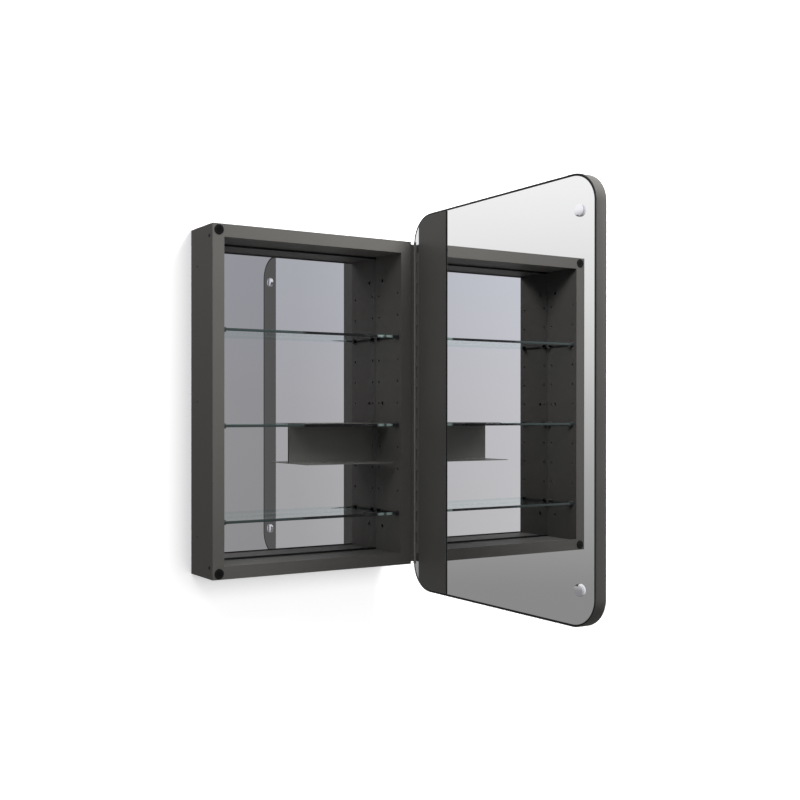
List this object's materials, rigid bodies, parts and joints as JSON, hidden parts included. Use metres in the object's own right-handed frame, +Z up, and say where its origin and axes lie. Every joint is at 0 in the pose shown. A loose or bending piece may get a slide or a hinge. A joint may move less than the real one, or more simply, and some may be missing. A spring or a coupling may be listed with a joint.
{
  "type": "medicine cabinet with mirror",
  "caption": "Wall-hung medicine cabinet: open metal casing with mirror back, glass shelves, hanging tray and a hinged mirrored door with round corners.",
  "frame": {"origin": "centre of the casing back face, on the wall", "axes": "+X to the right seen from the room, +Y into the wall, +Z up"},
  "size_m": [0.5549, 0.6512, 0.864],
  "materials": {
    "dark_paint": "satin",
    "bare_sheet": "matte",
    "mirror": "polished",
    "foam_tape": "matte",
    "black_plastic": "matte",
    "shelf_glass": "polished",
    "steel": "brushed",
    "black_rubber": "matte",
    "black_steel": "satin",
    "hinge_paint": "satin",
    "tray_paint": "satin",
    "rim_paint": "satin",
    "plate_paint": "satin",
    "door_board": "raw",
    "bright_steel": "polished"
  },
  "bodies": {
    "casing": {"left_side_panel": "dark_paint", "right_side_panel": "dark_paint", "top_panel": "dark_paint", "bottom_panel": "dark_paint", "back_panel": "bare_sheet", "back_mirror": "mirror", "back_mirror_tape": "foam_tape", "mirror_channels": "black_plastic", "upper_shelf": "shelf_glass", "middle_shelf": "shelf_glass", "lower_shelf": "shelf_glass", "upper_shelf_pins": "steel", "middle_shelf_pins": "steel", "lower_shelf_pins": "steel", "upper_shelf_clips": "black_rubber", "middle_shelf_clips": "black_rubber", "lower_shelf_clips": "black_rubber", "corner_blocks": "black_plastic", "corner_screws": "black_steel", "panel_rivets": "steel", "catch_magnets": "black_steel", "catch_bumpers": "black_rubber", "casing_hinge_leaf": "hinge_paint", "hinge_pin": "steel", "casing_hinge_screws": "black_steel"},
    "door": {"door_rim": "rim_paint", "front_mirror": "mirror", "front_mirror_tape": "foam_tape", "door_core": "door_board", "inner_mirror_tape": "foam_tape", "inner_mirror": "mirror", "hinge_side_plate": "plate_paint", "door_hinge_leaf": "hinge_paint", "door_hinge_rivets": "steel", "mirror_gaskets": "black_rubber", "plate_pad": "black_rubber", "strike_discs": "bright_steel"},
    "tray": {"hanging_tray": "tray_paint"}
  },
  "joints": [
    {"name": "door_hinge", "type": "hinge", "parent": "casing", "child": "door", "pos_m": [0.266, -0.1057, 0], "axis": [0, 0, 1], "range_deg": [-90, 30]},
    {"name": "tray_slide", "type": "slide", "parent": "casing", "child": "tray", "axis": [1, 0, 0], "range_m": [-0.19, 0]}
  ]
}
